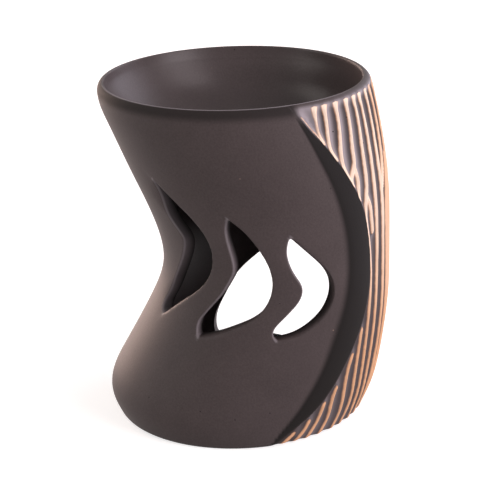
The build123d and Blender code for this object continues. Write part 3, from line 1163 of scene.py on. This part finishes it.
@dataclass(frozen=True)
class Tealight:
    """The candle: the CAD's own solids, each with its finish."""

    cup: TealightFoil = TealightFoil()
    wax: ParaffinWax = ParaffinWax()
    wick: WaxedCotton = WaxedCotton()
    wick_tab: TinnedSteel = TinnedSteel()

    def dress(self) -> list[str]:
        """Gives each solid its material.

        Returns:
            The names of the dressed nodes.
        """
        finishes = {"tealight_cup": self.cup, "tealight_wax": self.wax, "tealight_wick": self.wick,
                    "tealight_wick_tab": self.wick_tab}
        for node, finish in finishes.items():
            dress(bpy.data.objects[node], finish.material())
        return list(finishes)


# The studio

@dataclass(frozen=True)
class Lamp:
    """A soft square lamp that faces the burner: its place and side in metres, and its power in watts."""

    name: str
    place: tuple[float, float, float]
    size: float
    power: float
    tone: str

    def hang(self) -> None:
        """Adds the lamp to the scene."""
        data = bpy.data.lights.new(self.name, "AREA")
        data.shape, data.size = "SQUARE", self.size
        data.energy, data.color = self.power, linear(self.tone)[:3]
        lamp = bpy.data.objects.new(self.name, data)
        lamp.location = self.place
        lamp.rotation_euler = (Vector((0, 0, 0.06)) - Vector(self.place)).to_track_quat("-Z", "Y").to_euler()
        bpy.context.collection.objects.link(lamp)


@dataclass(frozen=True)
class Studio:
    """Pale table, soft lamps and the camera at the photograph's angle, in metres and degrees.

    A glow or a world strength of 1 is the photograph's white.
    """

    azimuth: float = 12.0
    elevation: float = 18.84
    roll: float = -1.70
    distance: float = 0.68416
    lens: float = 138.5
    aim: tuple[float, float, float] = (-0.00305, 0.0, 0.05633)
    shift_right: float = 0.00386
    table_tone: str = "#D2D2D2"
    table_glow: float = 0.62
    table_glow_in_gloss: float = 0.5
    world_light: float = 0.27
    world_white: float = 1.0
    lamps: tuple[Lamp, ...] = (
        Lamp("front_left", (-0.95, -0.45, 0.55), 0.7, 4.6, "#FFF6F0"),
        Lamp("side_right", (0.93, -0.40, 0.52), 0.6, 10.5, "#FFF2F6"),
        Lamp("back_right", (0.74, 0.78, 0.34), 0.8, 6.0, "#F6EEFF"),
        Lamp("edge_left", (-0.78, 0.66, 0.12), 0.5, 12.0, "#FFDCCC"),
    )

    def camera(self) -> None:
        """Places the camera."""
        turn, rise, lean = (np.radians(v) for v in (self.azimuth, self.elevation, self.roll))
        back = Vector((np.sin(turn) * np.cos(rise), -np.cos(turn) * np.cos(rise), np.sin(rise)))
        right = Vector((np.cos(turn), np.sin(turn), 0.0))
        up = back.cross(right)
        aim = Vector(self.aim) + right * self.shift_right
        axes = (right * np.cos(lean) + up * np.sin(lean), up * np.cos(lean) - right * np.sin(lean), back)
        data = bpy.data.cameras.new("camera")
        data.lens, data.sensor_width, data.clip_end = self.lens, 36.0, 20.0
        camera = bpy.data.objects.new("camera", data)
        turned = Matrix(axes).transposed().to_4x4()
        camera.matrix_world = Matrix.Translation(aim + back * self.distance) @ turned
        bpy.context.collection.objects.link(camera)
        bpy.context.scene.camera = camera

    def table(self) -> None:
        """Adds the pale table top, which shows white to the camera and keeps the burner's shadow."""
        deselect_all()
        bpy.ops.mesh.primitive_plane_add(size=6.0, location=(0, 0, 0))
        table = bpy.context.object
        table.name = "table_top"
        material, tree = new_material("white_paper_sweep")
        ray = add_node(tree, "LightPath").outputs
        seen = reckoned(tree, "MAXIMUM", ray["Is Camera Ray"], ray["Is Transmission Ray"])
        in_gloss = reckoned(tree, "MULTIPLY", ray["Is Glossy Ray"], self.table_glow_in_gloss)
        glow = reckoned(tree, "MULTIPLY_ADD", seen, self.table_glow, in_gloss)
        shade(tree, Base_Color=linear(self.table_tone), Roughness=0.9, Emission_Color=(1, 1, 1, 1),
              Emission_Strength=glow)
        table.data.materials.append(material)

    def world(self) -> None:
        """A white surround: full white to the camera and to reflections, softer as light."""
        world = bpy.data.worlds.new("white_surround")
        world.use_nodes = True
        tree = world.node_tree
        tree.nodes.clear()
        ray = add_node(tree, "LightPath").outputs
        seen = reckoned(tree, "MAXIMUM", ray["Is Camera Ray"], ray["Is Transmission Ray"])
        seen = reckoned(tree, "MAXIMUM", seen, ray["Is Glossy Ray"])
        level = mapped(tree, seen, self.world_light, self.world_white)
        light = add_node(tree, "Background", Color=(1, 1, 1, 1), Strength=level)
        add_node(tree, "OutputWorld", Surface=light.outputs[0])
        bpy.context.scene.world = world

    def build(self) -> None:
        """Sets up the whole studio."""
        bpy.context.scene.view_settings.view_transform = "Standard"
        self.camera()
        self.world()
        self.table()
        for lamp in self.lamps:
            lamp.hang()


def main() -> None:
    """Builds the classes in order and reports each piece."""
    logging.basicConfig(level=logging.INFO, format="%(message)s")
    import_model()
    Studio().build()
    body = Burner().build()
    dress(body, SatinGlaze().material())
    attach(body, "burner")
    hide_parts("burner_body")
    log.info("%s: %d faces", body.name, len(body.data.polygons))
    for node in Tealight().dress():
        log.info("%s: dressed", node)


if __name__ == "__main__":
    main()
